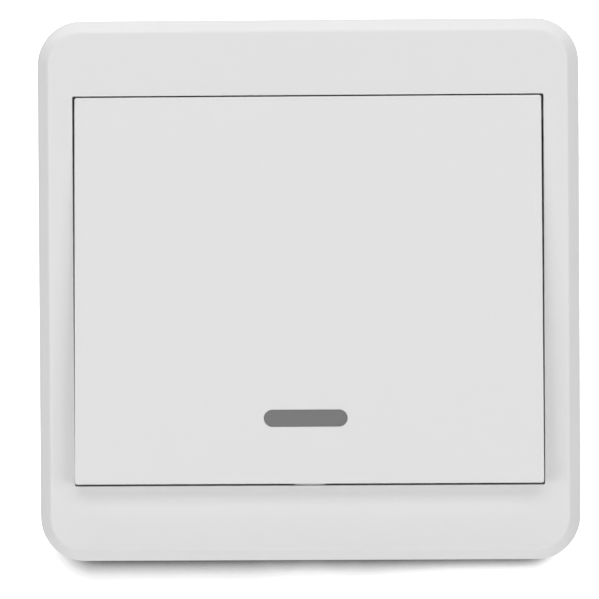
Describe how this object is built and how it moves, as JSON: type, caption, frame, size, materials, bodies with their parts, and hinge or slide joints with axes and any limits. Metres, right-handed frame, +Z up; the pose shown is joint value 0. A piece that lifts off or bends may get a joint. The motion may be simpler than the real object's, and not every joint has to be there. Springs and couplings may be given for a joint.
{
  "type": "wireless remote wall switch",
  "caption": "Square white wall plate transmitter with a large hinged rocker key, a pill-shaped indicator window and a battery powered board behind it.",
  "frame": {"origin": "centre of the back shell's flat back face, on the wall plane", "axes": "+X to the right seen from the front, +Y into the wall, +Z up; the front faces -Y"},
  "size_m": [0.086, 0.016, 0.086],
  "materials": {
    "white_abs": "fine satin moulding",
    "shell_abs": "satin moulding",
    "smoked_lens": "smooth, translucent grey",
    "laminate": "solder mask",
    "zinc_steel": "zinc plated",
    "black_moulding": "moulded",
    "tinned_brass": "tinned",
    "lamp_resin": "clear tinted resin",
    "resonator_can": "nickel plated",
    "ceramic": "fired",
    "copper_wire": "enamelled",
    "battery_can": "plain sleeve"
  },
  "bodies": {
    "housing": {"front_frame": "white_abs", "back_shell": "shell_abs", "circuit_board": "laminate", "board_screws": "zinc_steel", "switch_base": "black_moulding", "switch_cover": "zinc_steel", "switch_legs": "tinned_brass", "contact_dome": "zinc_steel", "status_led": "lamp_resin", "encoder_chip": "black_moulding", "rf_transistor": "black_moulding", "saw_resonator": "resonator_can", "chip_resistors": "ceramic", "chip_capacitors": "ceramic", "antenna_wire": "copper_wire", "battery": "battery_can", "battery_contact_plus": "tinned_brass", "battery_contact_minus": "tinned_brass"},
    "key": {"rocker": "white_abs", "indicator_lens": "smoked_lens"},
    "plunger": {"switch_plunger": "black_moulding"}
  },
  "joints": [
    {"name": "rocker_hinge", "type": "hinge", "parent": "housing", "child": "key", "pos_m": [0, -0.0082, 0.02785], "axis": [1, 0, 0], "range_deg": [0, 0.9], "stiffness_Nm_per_rad": 1.5, "springref_deg": -0.29, "deforming": ["contact_dome"]},
    {"name": "plunger_slide", "type": "slide", "parent": "housing", "child": "plunger", "axis": [0, 1, 0], "range_m": [0, 0.00036]}
  ],
  "couplings": [
    {"joint": "plunger_slide", "follows": "rocker_hinge", "m_per_rad": 0.02235}
  ]
}
